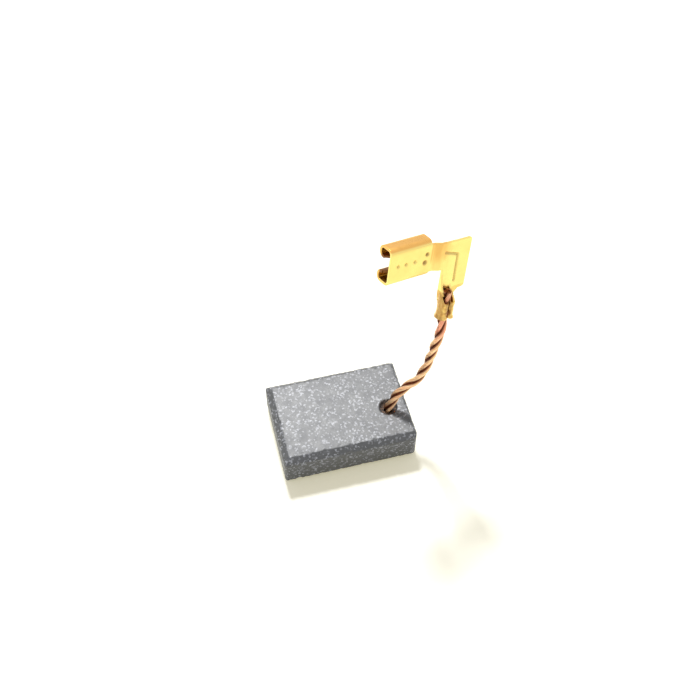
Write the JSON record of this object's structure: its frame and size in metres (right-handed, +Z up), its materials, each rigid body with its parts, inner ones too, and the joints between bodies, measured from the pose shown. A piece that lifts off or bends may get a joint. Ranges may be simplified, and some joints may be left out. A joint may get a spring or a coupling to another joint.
{
  "type": "carbon brush",
  "caption": "Motor carbon brush: a chamfered graphite block with a stranded copper shunt tamped into its upper face, ending in a crimped brass flag receptacle.",
  "frame": {"origin": "middle of the carbon block's underside", "axes": "+X along the block from its contact end to its shunt end, +Y across the block to its back side, +Z up through its thickness to the face that the shunt leaves"},
  "size_m": [0.0313, 0.016, 0.0449],
  "materials": {
    "graphite": "pressed graphite with a faint metallic sheen and fine bright flecks",
    "powder": "rough tamped contact powder",
    "copper": "bare stranded copper",
    "brass": "bright stamped brass sheet"
  },
  "bodies": {
    "root": {"carbon_block": "graphite", "tamped_powder": "powder", "shunt_wire": "copper", "terminal": "brass"}
  },
  "joints": []
}
